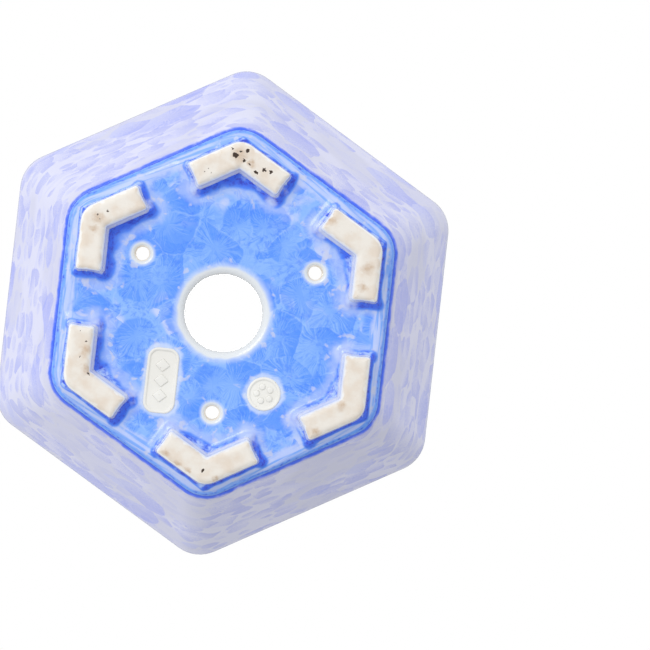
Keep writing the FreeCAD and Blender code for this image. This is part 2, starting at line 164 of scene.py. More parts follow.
LOOP_COUNT = len(hexagon_loop(BASE_HALF, CORNER))
print("points round the pot:", LOOP_COUNT)

# %% [markdown]
# ## Stitching loops into a surface
# A loop starts as a circle, and its points are moved on to the outline. Each next loop is extruded from
# the last one and moved into place. A modeller does the same by hand with E and G, and it keeps the mesh
# in neat quads.

# %% Loops to surface
def first_loop(bm, places):
    """A closed loop of vertices through the given places."""
    made = bmesh.ops.create_circle(bm, segments=len(places), radius=1.0)
    ring = sorted(made["verts"], key=lambda vert: math.atan2(vert.co.y, vert.co.x))
    for vert, place in zip(ring, places):
        vert.co = place
    return ring


def ring_edges(ring):
    """The edges between neighbours of a closed loop."""
    return [bm_edge(ring[i - 1], ring[i]) for i in range(len(ring))]


def bm_edge(one, other):
    return next(edge for edge in one.link_edges if edge.other_vert(one) is other)


def next_loop(bm, ring, places):
    """Extrudes a loop and moves the new one on to the given places."""
    made = bmesh.ops.extrude_edge_only(bm, edges=ring_edges(ring))
    fresh = {item for item in made["geom"] if isinstance(item, bmesh.types.BMVert)}
    following = [next(e.other_vert(v) for e in v.link_edges if e.other_vert(v) in fresh) for v in ring]
    for vert, place in zip(following, places):
        vert.co = place
    return following


def stitch(bm, loops):
    """A surface through a list of loops of places. Gives back the loops of vertices."""
    rings = [first_loop(bm, loops[0])]
    for places in loops[1:]:
        rings.append(next_loop(bm, rings[-1], places))
    return rings


def add_closed(bm, loops):
    """Stitches loops and fills both ends."""
    rings = stitch(bm, loops)
    for ring in (rings[0], rings[-1]):
        bmesh.ops.triangle_fill(bm, edges=ring_edges(ring), use_beauty=True)


def raised(points, height):
    """Flat points lifted to a height."""
    return [Vector((point.x, point.y, height)) for point in points]


def hexagon_ring(half, corner, height):
    """A hexagon's loop at a height."""
    return raised(hexagon_loop(half, corner), height)


def quarter(radius, steps=5):
    """Steps round a quarter circle: (how far along, how far up), each from 0 to the radius."""
    turns = [math.pi / 2 * k / steps for k in range(steps + 1)]
    return [(radius * math.sin(turn), radius * (1 - math.cos(turn))) for turn in turns]


# %% [markdown]
# ## Making a piece of the pot
# Each finished bmesh becomes an object at the origin that rides on the pot's one body and stands for its
# node.

# %% Bmesh to piece
WELD = 0.002 * MM
COAT_SHARE = 0.8


def make_piece(bm, name, nodes, closed=True):
    """Turns a bmesh into a smooth-shaded piece that rides on the pot."""
    bmesh.ops.remove_doubles(bm, verts=bm.verts, dist=WELD)
    if closed:
        bmesh.ops.recalc_face_normals(bm, faces=bm.faces)
    mesh = bpy.data.meshes.new(name)
    bm.to_mesh(mesh)
    bm.free()
    for face in mesh.polygons:
        face.use_smooth = True
    piece = bpy.data.objects.new(name, mesh)
    bpy.context.collection.objects.link(piece)
    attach(piece, "root")
    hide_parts(*nodes)
    print(name, len(mesh.vertices), "vertices", len(mesh.polygons), "faces")
    return piece


def thicken(piece):
    """Gives a coat of glaze its thickness, inwards from the face that shows."""
    solid = piece.modifiers.new("coat thickness", "SOLIDIFY")
    solid.thickness = GLAZE * COAT_SHARE
    solid.offset = -1.0


def remember(piece, measure, unit=MM):
    """Stores a measure at every vertex under the measure's own name, for the glaze to read."""
    stored = piece.data.attributes.new(measure.__name__, "FLOAT", "POINT")
    for vert, value in zip(piece.data.vertices, stored.data):
        value.value = measure(vert.co) / unit


# %% [markdown]
# ## How far is it?
# Glaze follows distance: so far from a foot, so far from an edge. These helpers measure it on the flat.

# %% Distances on the floor
def nearest_on(point, start, end):
    """The nearest point of a line between two ends."""
    along = end - start
    share = max(0.0, min(1.0, (point - start).dot(along) / along.length_squared))
    return start + along * share


def gap_to_line(point, start, end):
    return (point - nearest_on(point, start, end)).length


def foot_turn(number):
    """The angle of a foot's own corner of the pot."""
    return math.radians(60 * number - 150)


def foot_corners(number):
    """A foot's standing face as a polygon, anticlockwise, at its own corner of the pot."""
    turn = Matrix.Rotation(foot_turn(number), 2)
    tip = Vector(((BASE_HALF - FOOT_INSET) / COS30, 0))
    along = facing(math.radians(120))
    inward = Vector((-along.y, along.x))
    end = tip + along * FOOT_ARM
    back = end + inward * FOOT_WIDTH
    notch = Vector((tip.x - FOOT_WIDTH / COS30, 0))
    below = [Vector((back.x, -back.y)), Vector((end.x, -end.y))]
    return [turn @ point for point in [tip, end, back, notch] + below]


FEET = {number: foot_corners(number) for number in range(1, SIDES + 1)}
FOOT_MIDDLES = {number: sum(corners, Vector((0, 0))) / len(corners) for number, corners in FEET.items()}


def nearest_foot(flat):
    """The number of the foot whose middle is nearest."""
    return min(FEET, key=lambda number: (FOOT_MIDDLES[number] - flat).length_squared)


def inside(point, corners):
    """Whether a point lies inside a polygon."""
    hit = False
    for i in range(len(corners)):
        one, two = corners[i - 1], corners[i]
        if (one.y > point.y) != (two.y > point.y):
            if point.x < (two.x - one.x) * (point.y - one.y) / (two.y - one.y) + one.x:
                hit = not hit
    return hit


def foot_gap(point):
    """Distance from the nearest foot's standing outline, negative inside it."""
    flat = point.to_2d()
    corners = FEET[nearest_foot(flat)]
    gap = min(gap_to_line(flat, corners[i - 1], corners[i]) for i in range(len(corners)))
    return -gap if inside(flat, corners) else gap


print("gap from a foot's point", foot_gap(FEET[1][0]))

# %% [markdown]
# The pools lie more on one side of every foot, the side away from the light, as painted shade. They fill the
# notch inside the chevron, and stay narrow along its outside and its ends.

# %% Distances that the glaze feels
NOTCH_FILL = 5.5 * MM
# The next two say which way is away from the light, and how far the pools are painted wider that way, as
# painted shade.
SHADE_WAY = Vector((-0.78, -0.62))
SHADE_BIAS = 0.5 * MM
NARROW_OUTSIDE = 2.4
NARROW_ENDS = 1.35


def pool_and_shade_gap(point):
    """Distance from a foot as the pooled glaze feels it, made shorter on the side away from the light, so
    the pools are painted wider there as painted shade.
    """
    flat = point.to_2d()
    number = nearest_foot(flat)
    if inside(flat, FEET[number]):
        return 0.0
    tip, end, back, notch, low_back, low_end = FEET[number]
    lines = [(tip, end, NARROW_OUTSIDE), (low_end, tip, NARROW_OUTSIDE)]
    lines += [(end, back, NARROW_ENDS), (low_back, low_end, NARROW_ENDS)]
    gaps = []
    for start, stop, narrow in lines:
        way = flat - nearest_on(flat, start, stop)
        gaps.append(way.length * narrow - SHADE_BIAS * way.normalized().dot(SHADE_WAY))
    upper, lower = gap_to_line(flat, back, notch), gap_to_line(flat, notch, low_back)
    filled = max(NOTCH_FILL - abs(upper - lower), 0.0) / NOTCH_FILL
    centreward = -FOOT_MIDDLES[number].normalized()
    gaps.append(min(upper, lower) - NOTCH_FILL * filled ** 2 / 4 - SHADE_BIAS * centreward.dot(SHADE_WAY))
    return min(gaps)


def tip_gap(point):
    """Distance from the nearest inner corner at the end of a foot's arm, where the coat ran thin."""
    flat = point.to_2d()
    corners = FEET[nearest_foot(flat)]
    return min((flat - corners[2]).length, (flat - corners[4]).length)


def shade_side(point):
    """1 on the side of a foot that faces away from the light, where the pools are painted as shade, -1 on
    the lit side.
    """
    flat = point.to_2d()
    corners = FEET[nearest_foot(flat)]
    spots = [nearest_on(flat, corners[i - 1], corners[i]) for i in range(len(corners))]
    way = flat - min(spots, key=lambda spot: (spot - flat).length_squared)
    return way.normalized().dot(SHADE_WAY)


# %% Distances from the hexagon's sides and corners
def off_corner(flat):
    """The angle between a place's direction and the nearest corner's."""
    turn = (math.degrees(math.atan2(flat.y, flat.x)) + 90) % 60
    return math.radians(min(turn, 60 - turn))


def side_gap(point, half, corner):
    """Distance in from a hexagon's rounded outline, on the flat."""
    flat = point.to_2d()
    middle_far = (half - corner) / COS30
    off = off_corner(flat)
    outward, sideways = flat.length * math.cos(off), flat.length * math.sin(off)
    if outward > middle_far and math.atan2(sideways, outward - middle_far) < math.radians(30):
        return corner - min((flat - spot * middle_far).length for spot in HEXAGON)
    return half - max(flat.dot(facing(math.radians(60 * k))) for k in range(SIDES))


def corner_gap(point):
    """Distance sideways from the nearest upright corner's ridge."""
    flat = point.to_2d()
    return flat.length * math.sin(off_corner(flat))


# %% Distance from the seals
SEAL_LOW = low_of("seal_long")
SEAL_HIGH = high_of("seal_long")
LONG_MIDDLE = ((SEAL_LOW + SEAL_HIGH) / 2).to_2d()
LONG_HALF = ((SEAL_HIGH - SEAL_LOW) / 2).to_2d()
ROUND_MIDDLE = ((low_of("seal_round") + high_of("seal_round")) / 2).to_2d()
ROUND_RADIUS = (high_of("seal_round").x - low_of("seal_round").x) / 2
LONG_CORNER = 3.2 * MM
SEAL_SINK = 0.3 * MM


def seal_gap(point):
    """Distance out from the nearer seal."""
    flat = point.to_2d()
    dx = max(abs(flat.x - LONG_MIDDLE.x) - LONG_HALF.x + LONG_CORNER, 0.0)
    dy = max(abs(flat.y - LONG_MIDDLE.y) - LONG_HALF.y + LONG_CORNER, 0.0)
    return min(math.hypot(dx, dy) - LONG_CORNER, (flat - ROUND_MIDDLE).length - ROUND_RADIUS)


# %% [markdown]
# ## The glaze under the floor
# This coat is the face of the pot that we look at. It climbs a little where it meets each foot, rolls
# over the drain hole's mouth and the floor's lower edge, and ends under the wall. It is stitched from
# rings that start as circles at the drain and end as rounded hexagons at the edge, because both borders
# are then exact.

# %% Floor glaze: rings from the drain to the edge
FLOOR_FACE = UNDER - GLAZE
EDGE_HALF = FLANGE_HALF + GLAZE
EDGE_CORNER = CORNER - STEP_INSET + GLAZE
EDGE_ROLL = FLOOR_ROUND + GLAZE
MOUTH = DRAIN + DRAIN_ROUND
COAT_MOUTH = MOUTH + GLAZE * 0.5
COAT_ROLL = DRAIN_ROUND + GLAZE * 0.6
FLAT_RINGS = 58


def drain_circle(radius):
    """A circle whose points lie in the same directions as the hexagon's."""
    return [point.normalized() * radius for point in hexagon_loop(BASE_HALF, CORNER)]


def floor_rings():
    """All the rings of the visible coat."""
    rings = []
    for along, up in reversed(quarter(COAT_ROLL)):
        rings.append(raised(drain_circle(COAT_MOUTH - along), FLOOR_FACE + up))
    inner = drain_circle(COAT_MOUTH)
    outer = hexagon_loop(EDGE_HALF - EDGE_ROLL, EDGE_CORNER - EDGE_ROLL)
    for k in range(1, FLAT_RINGS):
        share = k / FLAT_RINGS
        rings.append(raised([a.lerp(b, share) for a, b in zip(inner, outer)], FLOOR_FACE))
    for along, up in quarter(EDGE_ROLL, 7):
        inset = EDGE_ROLL - along
        rings.append(hexagon_ring(EDGE_HALF - inset, EDGE_CORNER - inset, FLOOR_FACE + up))
    return rings


bm = bmesh.new()
stitch(bm, floor_rings())
print("floor glaze rings stitched:", len(bm.faces), "faces")

# %% [markdown]
# The wire holes are cut by taking out the faces round each one. The ragged border that's left is
# extruded, and each new vertex is put on a true circle in its own direction, so the hole is round
# whatever the mesh around it.

# %% Floor glaze: wire holes
HOLE_MARGIN = 0.4 * MM
FLAT_ENOUGH = 0.2 * MM


def ring_inward(bm, border, place, radius, level):
    """Extrudes a border, puts the new vertices on a circle, and gives the circle's edges."""
    made = bmesh.ops.extrude_edge_only(bm, edges=border)["geom"]
    for vert in [item for item in made if isinstance(item, bmesh.types.BMVert)]:
        way = (vert.co.to_2d() - place).normalized() * radius
        vert.co = Vector((place.x + way.x, place.y + way.y, level))
    return [item for item in made if isinstance(item, bmesh.types.BMEdge)]


def open_circle(bm, place, level, radius):
    """Cuts a clean round hole in a flat part of a mesh, and gives the circle's edges."""
    near = radius + HOLE_MARGIN
    flat = [face for face in bm.faces if abs(face.calc_center_median().z - level) < FLAT_ENOUGH]
    gone = {face for face in flat if min((vert.co.to_2d() - place).length for vert in face.verts) < near}
    around = {edge for face in gone for edge in face.edges}
    kept = {edge for edge in around if any(face not in gone for face in edge.link_faces)}
    bmesh.ops.delete(bm, geom=list(gone), context="FACES")
    border = [edge for edge in bm.edges if edge in kept]
    return ring_inward(bm, border, place, radius, level)


def cut_wire_hole(bm, place):
    """Opens one wire hole in the flat coat and rolls its mouth."""
    mouth = WIRE + WIRE_ROUND + GLAZE * 0.5
    border = open_circle(bm, place, FLOOR_FACE, mouth)
    for along, up in quarter(WIRE_ROUND + GLAZE * 0.4, 5)[1:]:
        border = ring_inward(bm, border, place, mouth - along, FLOOR_FACE + up)


for wire_place in WIRE_PLACES:
    cut_wire_hole(bm, wire_place)
print("with wire holes:", len(bm.faces), "faces")

# %% [markdown]
# Where the glaze meets a foot it climbs, as water does against a wall. Each vertex near a foot is lowered
# by an amount that fades with its distance from it. (The pot stands on its feet, so down is towards the
# viewer here.)

# %% Floor glaze: climb at the feet, and thickness
CLIMB = 1.3 * MM
CLIMB_REACH = 2.4 * MM
CLIMB_CURVE = 2.2
ON_FACE = 0.1 * MM
FOOT_ROOT = 0.9 * MM


def climb(point):
    """How far the glaze has climbed at a point."""
    gap = foot_gap(point) - FOOT_ROOT
    share = max(0.0, 1 - max(gap, 0.0) / CLIMB_REACH)
    return CLIMB * share ** CLIMB_CURVE


for vert in bm.verts:
    if vert.co.z < FLOOR_FACE + ON_FACE:
        vert.co.z -= climb(vert.co)
    if seal_gap(vert.co) < -SEAL_SINK:
        vert.co.z += SEAL_SINK
bmesh.ops.recalc_face_normals(bm, faces=bm.faces)
if sum(face.normal.z for face in bm.faces) > 0:
    bmesh.ops.reverse_faces(bm, faces=bm.faces)
floor_glaze = make_piece(bm, "floor_glaze_coat", ["floor_glaze"], closed=False)
thicken(floor_glaze)

# %% Floor glaze: what it remembers
SMALL_HOLE_SHARE = 1.9


def hole_gap(point):
    """Distance out from the nearest hole's wall. It counts nearly double at the small holes."""
    flat = point.to_2d()
    gaps = [((flat - place).length - WIRE) * SMALL_HOLE_SHARE for place in WIRE_PLACES]
    return min([flat.length - DRAIN] + gaps)


def edge_gap(point):
    """Distance in from the floor coat's outer border."""
    return side_gap(point, EDGE_HALF, EDGE_CORNER)


for measure in (tip_gap, pool_and_shade_gap, edge_gap, hole_gap, seal_gap):
    remember(floor_glaze, measure)
# The side of each foot away from the light, stored for the painted shade and light of the pools.
remember(floor_glaze, shade_side, unit=1)

# %% [markdown]
# ## The glaze on the wall
# One coat runs from under the wall's lower edge, up the outside, over the lip and a little way down
# inside, where it ends in a wavy bead. It is stitched from hexagon loops, one every 1.5 mm up the wall.

# %% Wall glaze
LIP_OUT = 2.8 * MM
LIP_IN = 1.7 * MM
GLAZE_INSIDE = 9.0 * MM
WALL_STEP = 1.5 * MM
FOOT_ROLL = 0.9 * MM
BEAD_RINGS = 8
BEAD_SWELL = 0.12 * MM
BEAD_WAVE = 0.9 * MM


def wall_ring(height, proud):
    """A loop round the wall at a height, so far out from the clay's face."""
    return hexagon_ring(half_flats(height) + proud, CORNER + proud, height)


def lip_rings():
    """Loops over the lip, from the outside to the inside."""
    rings = []
    outer = half_flats(TOP - LIP_OUT) + GLAZE
    for along, up in quarter(LIP_OUT, 6):
        rings.append(hexagon_ring(outer - up, CORNER + GLAZE - up, TOP - LIP_OUT + along))
    inner = half_flats(TOP) - WALL - GLAZE
    for along, up in quarter(LIP_IN, 6):
        left = LIP_IN - along
        rings.append(hexagon_ring(inner + left, CORNER - WALL + left, TOP - up))
    return rings


def wavy(loop, level, height):
    """A flat loop lifted to a level and made to wave up and down."""
    places = []
    for place in loop:
        turn = math.atan2(place.y, place.x)
        wave = math.sin(turn * 5 + 0.6) + 0.6 * math.sin(turn * 11 + 2) + 0.35 * math.sin(turn * 23)
        places.append(Vector((place.x, place.y, level + height * wave)))
    return places


def bead_rings():
    """The coat inside the lip, thinning to a wavy border."""
    rings = []
    for k in range(1, BEAD_RINGS + 1):
        share = k / BEAD_RINGS
        proud = GLAZE * (1 - share ** 3) + BEAD_SWELL * math.sin(share * math.pi)
        level = TOP - LIP_IN - (GLAZE_INSIDE - LIP_IN) * share
        loop = hexagon_loop(half_flats(level) - WALL - proud, CORNER - WALL)
        rings.append(wavy(loop, level, share * BEAD_WAVE))
    return rings


def outside_rings():
    """The coat's outer face, from under the wall's lower edge to the start of the lip."""
    low = WALL_FOOT - GLAZE * 0.5
    rings = [wall_ring(WALL_FOOT, -STEP_INSET * 0.9)]
    for along, up in quarter(FOOT_ROLL):
        rings.append(wall_ring(low + up, GLAZE - FOOT_ROLL + along))
    start = low + FOOT_ROLL
    length = TOP - LIP_OUT - start
    count = round(length / WALL_STEP)
    for k in range(1, count):
        rings.append(wall_ring(start + length * k / count, GLAZE))
    return rings


bm = bmesh.new()
stitch(bm, outside_rings() + lip_rings() + bead_rings())
bmesh.ops.recalc_face_normals(bm, faces=bm.faces)
side_middle = Vector((BASE_HALF, 0, TOP / 2))
middle_face = min(bm.faces, key=lambda face: (face.calc_center_median() - side_middle).length)
if middle_face.normal.x < 0:
    bmesh.ops.reverse_faces(bm, faces=bm.faces)
wall_glaze = make_piece(bm, "wall_glaze_coat", ["wall_glaze"], closed=False)
thicken(wall_glaze)


def rise(point):
    """Height over the wall's lower edge."""
    return point.z - WALL_FOOT


for measure in (corner_gap, rise):
    remember(wall_glaze, measure)


# %% [markdown]
# ## The clay wall
# Under the glaze the wall is plain white clay. Only its inside shows, so its outer face just has to stay
# behind the coat. The shell is a closed tube of loops: up the outside, over the top and down the inside.

# %% Clay wall
BEHIND = 0.05 * MM
CLAY_RINGS = 40
EDGE_BAND = 4.0 * MM


def clay_wall_rings():
    rings = []
    for level in (WALL_FOOT, WALL_FOOT + EDGE_BAND, (WALL_FOOT + CLAY_TOP) / 2, CLAY_TOP - LIP_OUT):
        rings.append(wall_ring(level, -BEHIND))
    outer, top = half_flats(CLAY_TOP - LIP_OUT) - BEHIND, CLAY_TOP - BEHIND
    for along, up in quarter(LIP_OUT, 4)[1:]:
        rings.append(hexagon_ring(outer - up, CORNER - BEHIND - up, top - LIP_OUT + along))
    inner, start = half_flats(CLAY_TOP) - WALL, CLAY_TOP - LIP_IN
    for along, up in quarter(LIP_IN, 4):
        left = LIP_IN - along
        rings.append(hexagon_ring(inner + left, CORNER - WALL + left, top - up))
    for k in range(1, CLAY_RINGS + 1):
        level = start + (WALL_FOOT - start) * k / CLAY_RINGS
        rings.append(hexagon_ring(half_flats(level) - WALL, CORNER - WALL, level))
    return rings + [rings[0]]


bm = bmesh.new()
stitch(bm, clay_wall_rings())
clay_wall = make_piece(bm, "clay_wall", ["side_wall"])

# %% [markdown]
# ## The clay floor
# Seen from above, the floor is a flat of clay with four holes, and it sweeps up to the wall in a soft
# cove. Its two faces are stitched like the glaze. They share one grid of rings, so a wire hole cut in
# each gives two equal circles, one above the other, and these are bridged.

# %% Clay floor
COVE = 4.0 * MM
BORE_ROUND = 0.9 * MM
FLOOR_RINGS = 40
SHARED_RINGS = 32  # of those, the ones that end short of the cove


def flat_grid():
    """Rings from the drain's mouth out to the floor's lower edge, used on both faces of the floor."""
    inner = drain_circle(MOUTH)
    outer = hexagon_loop(FLANGE_HALF - FLOOR_ROUND, CORNER - STEP_INSET - FLOOR_ROUND)
    return [[a.lerp(b, k / FLOOR_RINGS) for a, b in zip(inner, outer)] for k in range(FLOOR_RINGS + 1)]


def clay_floor_rings():
    """From the wall's foot under the floor, in to the drain, through it, and out to the cove on top."""
    flange_corner = CORNER - STEP_INSET
    rings = [hexagon_ring(half_flats(WALL_FOOT) - WALL, CORNER - WALL, WALL_FOOT)]
    rings.append(hexagon_ring(FLANGE_HALF, flange_corner, WALL_FOOT))
    for along, up in reversed(quarter(FLOOR_ROUND, 4)):
        inset = FLOOR_ROUND - along
        rings.append(hexagon_ring(FLANGE_HALF - inset, flange_corner - inset, UNDER + up))
    flat = flat_grid()
    for ring in reversed(flat[:-1]):
        rings.append(raised(ring, UNDER))
    for along, up in quarter(DRAIN_ROUND, 4):
        rings.append(raised(drain_circle(MOUTH - along), UNDER + up))
    for along, up in reversed(quarter(BORE_ROUND, 4)):
        rings.append(raised(drain_circle(DRAIN + BORE_ROUND - along), FLOOR_TOP - up))
    for ring in flat[:SHARED_RINGS]:
        rings.append(raised(ring, FLOOR_TOP))
    for along, up in quarter(COVE, 6):
        level = FLOOR_TOP + up
        rings.append(hexagon_ring(half_flats(level) - WALL - COVE + along, CORNER - WALL, level))
    return rings + [rings[0]]


bm = bmesh.new()
stitch(bm, clay_floor_rings())
bmesh.ops.remove_doubles(bm, verts=bm.verts, dist=WELD)
for wire_place in WIRE_PLACES:
    below = open_circle(bm, wire_place, UNDER, WIRE)
    above = open_circle(bm, wire_place, FLOOR_TOP, WIRE)
    bmesh.ops.bridge_loops(bm, edges=below + above)
clay_floor = make_piece(bm, "clay_floor", ["floor_slab"])

# %% [markdown]
# ## The feet
# A foot is a chevron of clay. Its outline is walked at each level: tight at the standing face, easing out
# down the sides, and flaring where slip and glaze filled the corner with the floor.

# %% Feet
FOOT_RADII = [FOOT_APEX, 1.1 * MM, 1.1 * MM, 0.5 * MM, 1.1 * MM, 1.1 * MM]
FOOT_EDGE = 1.9 * MM
FOOT_FLARE = 1.5 * MM
FOOT_LEAN = 0.5 * MM
SCOOP = 0.9 * MM
SCOOP_REACH = 0.62
FLANK_STEPS = 12


def foot_profile():
    """(grow, height) from the standing face to the floor."""
    profile = [(-FOOT_EDGE * 1.5, 0.0), (-FOOT_EDGE * 1.2, 0.0)]
    profile += [(along - FOOT_EDGE, up) for along, up in quarter(FOOT_EDGE, 7)]
    for k in range(1, FLANK_STEPS + 1):
        share = k / FLANK_STEPS
        flare = FOOT_FLARE * (0.4 * share + 0.6 * share ** 3)
        profile.append((flare, FOOT_EDGE + (UNDER - FOOT_EDGE) * share))
    return profile


def scooped(point, corners, height):
    """Hollows the two end faces a little between their corners, more towards the root."""
    for start, stop in ((corners[1], corners[2]), (corners[4], corners[5])):
        middle = (start + stop) / 2
        share = (point - middle).length / ((stop - start).length * SCOOP_REACH)
        if share < 1:
            along = (stop - start).normalized()
            inward = Vector((-along.y, along.x))
            point = point + inward * SCOOP * (1 - share ** 2) * (0.25 + 0.75 * height / UNDER)
    return point


def make_foot(number):
    """One foot, its standing face filled and its root closed inside the floor."""
    corners = FEET[number]
    inward = -facing(foot_turn(number))
    loops = []
    for grow, height in foot_profile():
        outline = polygon_loop(corners, FOOT_RADII, grow, bend_points=6)
        outline = [scooped(point, corners, height) for point in outline]
        lean = inward * FOOT_LEAN * (height / UNDER) ** 2
        loops.append([Vector((p.x + lean.x, p.y + lean.y, height)) for p in outline])
    bm = bmesh.new()
    add_closed(bm, loops)
    return make_piece(bm, f"chevron_foot_{number}", [f"foot_{number}"])


feet = [make_foot(number) for number in range(1, SIDES + 1)]

# %% [markdown]
# ## The seals
# A potter's seal is pressed into a small pad of clay: a raised border, a sunk field and a raised motif.
# The motifs here are plain ones, three lozenges and a blossom.

# %% The seals' relief
BORDER = 0.8 * MM
FIELD_DEPTH = 0.35 * MM
SEAL_FACE = low_of("seal_long").z
SEAL_SOFT = 0.18 * MM


def relief_loops(outline):
    """Loops for a pad with a raised, softened border round a sunk field."""
    soft, top, field = SEAL_SOFT, SEAL_FACE, SEAL_FACE + FIELD_DEPTH
    steps = [(0.0, UNDER), (0.0, top + soft * 2), (-soft * 0.5, top + soft * 0.6), (-soft * 1.6, top)]
    steps += [(soft - BORDER, top), (-BORDER, top + soft * 0.6)]
    steps += [(-soft * 0.7 - BORDER, field), (-soft * 2.5 - BORDER, field)]
    return [raised(outline(grow), level) for grow, level in steps]


def bump_loops(outline):
    """Loops for one soft raised shape of the motif."""
    top, rise = SEAL_FACE, FIELD_DEPTH
    steps = [(0.0, top + rise), (-0.1 * MM, top + rise * 0.3), (-0.3 * MM, top + 0.02 * MM)]
    steps += [(-0.45 * MM, top)]
    return [raised(outline(grow), level) for grow, level in steps]


# %% The long seal
LOZENGE_PITCH = 4.4 * MM
LOZENGE_HALF = Vector((2.2, 2.0)) * MM
LOZENGE_CORNER = 0.3 * MM


def rectangle_corners(middle, half):
    signs = [(1, -1), (1, 1), (-1, 1), (-1, -1)]
    return [Vector((middle.x + half.x * a, middle.y + half.y * b)) for a, b in signs]


def lozenge_loop(row, grow):
    """One of the three lozenges, counted from the middle one."""
    middle = LONG_MIDDLE + Vector((0, row * LOZENGE_PITCH))
    ways = [Vector((1, 0)), Vector((0, 1)), Vector((-1, 0)), Vector((0, -1))]
    corners = [middle + way * LOZENGE_HALF for way in ways]
    return polygon_loop(corners, [LOZENGE_CORNER] * 4, grow, bend_points=3)


bm = bmesh.new()
long_corners = rectangle_corners(LONG_MIDDLE, LONG_HALF)
add_closed(bm, relief_loops(lambda grow: polygon_loop(long_corners, [LONG_CORNER] * 4, grow)))
for row in (-1, 0, 1):
    add_closed(bm, bump_loops(lambda grow: lozenge_loop(row, grow)))
seal_long = make_piece(bm, "long_seal", ["seal_long"])

# %% The round seal
PETALS = 5
PETAL_CIRCLE = 2.1 * MM
PETAL_RADIUS = 0.95 * MM


def disc_loop(middle, radius, count=72):
    return [middle + facing(2 * math.pi * k / count) * radius for k in range(count)]


bm = bmesh.new()
add_closed(bm, relief_loops(lambda grow: disc_loop(ROUND_MIDDLE, ROUND_RADIUS + grow)))
for petal in range(PETALS):
    middle = ROUND_MIDDLE + facing(2 * math.pi * petal / PETALS) * PETAL_CIRCLE
    add_closed(bm, bump_loops(lambda grow: disc_loop(middle, PETAL_RADIUS + grow, 24)))
seal_round = make_piece(bm, "round_seal", ["seal_round"])

# %% [markdown]
# ## Mixing materials from nodes
# The same few moves come back in every material: do a sum, stir in noise, remap a number, mix two
# colours. This small class names them, so that each recipe below reads like one.

# %% A bench for mixing
GREY = (0.5, 0.5, 0.5)


class Bench:
    """One material's node tree and short ways to add to it."""

    def __init__(self, name):
        self.material = bpy.data.materials.new(name)
        self.material.use_nodes = True
        self.nodes = self.material.node_tree.nodes
        self.links = self.material.node_tree.links
        self.shader = self.nodes["Principled BSDF"]
        self.colour = None

    def add(self, kind, **settings):
        """Adds a node. Settings are its own properties."""
        node = self.nodes.new("ShaderNode" + kind)
        for key, value in settings.items():
            setattr(node, key, value)
        return node

    def feed(self, socket, value):
        """Links a socket, or types a value into it."""
        if isinstance(value, bpy.types.NodeSocket):
            self.links.new(value, socket)
        else:
            socket.default_value = value

    def fill(self, node, values):
        """Feeds a node's sockets, given as {socket: value}, and gives the node back."""
        for socket, value in values.items():
            self.feed(node.inputs[socket], value)
        return node

    def do(self, operation, *values):
        """A sum on numbers."""
        return self.fill(self.add("Math", operation=operation), dict(enumerate(values))).outputs[0]

    def plus(self, one, other):
        return self.do("ADD", one, other)

    def less(self, one, other):
        return self.do("SUBTRACT", one, other)

    def by(self, one, other):
        return self.do("MULTIPLY", one, other)

    def vec(self, operation, *values):
        """A sum on vectors."""
        node = self.fill(self.add("VectorMath", operation=operation), dict(enumerate(values)))
        return node.outputs[1 if operation in ("DISTANCE", "DOT_PRODUCT") else 0]

    def times(self, vector, factor):
        """A vector made longer."""
        node = self.add("VectorMath", operation="SCALE")
        return self.fill(node, {0: vector, "Scale": factor}).outputs[0]

    def place(self):
        """Where a point is on the pot, in millimetres."""
        return self.times(self.add("TexCoord").outputs["Object"], 1 / MM)

    def stored(self, name):
        """A number stored on the mesh."""
        return self.add("Attribute", attribute_name=name).outputs["Fac"]

    def fit(self, value, low, high, to_low=0.0, to_high=1.0):
        """Remaps low..high smoothly."""
        node = self.add("MapRange", interpolation_type="SMOOTHSTEP")
        return self.fill(node, dict(enumerate((value, low, high, to_low, to_high)))).outputs[0]

    def noise(self, place, size, detail=2.0, rough=0.5, colour=False):
        """Soft noise whose lumps are about so many millimetres wide. Its middle value is 0.5."""
        values = {"Vector": place, "Scale": 1 / size, "Detail": detail, "Roughness": rough}
        return self.fill(self.add("TexNoise"), values).outputs["Color" if colour else "Fac"]

    def mix(self, share, below, above):
        """Two colours mixed."""
        return self.fill(self.add("Mix", data_type="RGBA"), {"Factor": share, 6: below, 7: above}).outputs[2]

    def stir(self, place, size, strength, detail=2.0):
        """Pushes places about with noise, so that edges wander."""
        push = self.vec("SUBTRACT", self.noise(place, size, detail, colour=True), GREY)
        return self.vec("ADD", place, self.times(push, strength))

    def lay(self, above, share, strength=1.0):
        """Lays a colour over the colour so far, where the share says and at most so strongly."""
        if strength < 1:
            share = self.by(share, strength)
        self.colour = self.mix(share, self.colour, above)

    def finish(self, roughness, height, relief, depth):
        """Gives the shader its colour, its shine and a fine relief."""
        bump = self.fill(self.add("Bump"), {"Strength": relief, "Distance": depth, "Height": height})
        normal = bump.outputs[0]
        self.fill(self.shader, {"Base Color": self.colour, "Roughness": roughness, "Normal": normal})
        return self.material


def paint(red, green, blue):
    """A screen colour, 0 to 255, as the linear colour that nodes use."""
    linear = []
    for part in (red, green, blue):
        share = part / 255
        linear.append(share / 12.92 if share <= 0.04045 else ((share + 0.055) / 1.055) ** 2.4)
    return (*linear, 1.0)


# %% [markdown]
# ## Crystals
# Zinc crystals start from a seed and grow outwards as flat fans of needles, until they meet. A Voronoi
# texture is the same idea: each cell belongs to its nearest seed. The way from the seed to a point gives
# the needle that the point lies in, and noise read along that way alone draws the needles.

# %% One growth of crystals
SEED_STEP = Vector((31.7, 17.3, 7.1))
SCATTER = 0.95
OWN_STEP = 60.0
FLATTEN = (1, 1, 0)
GLASS_IOR = 1.5


def cell_texture(bench, place, size, **settings):
    """Cells about so many millimetres wide, each round a seed of its own."""
    values = {"Vector": place, "Scale": 1 / size, "Randomness": SCATTER}
    return bench.fill(bench.add("TexVoronoi", **settings), values)


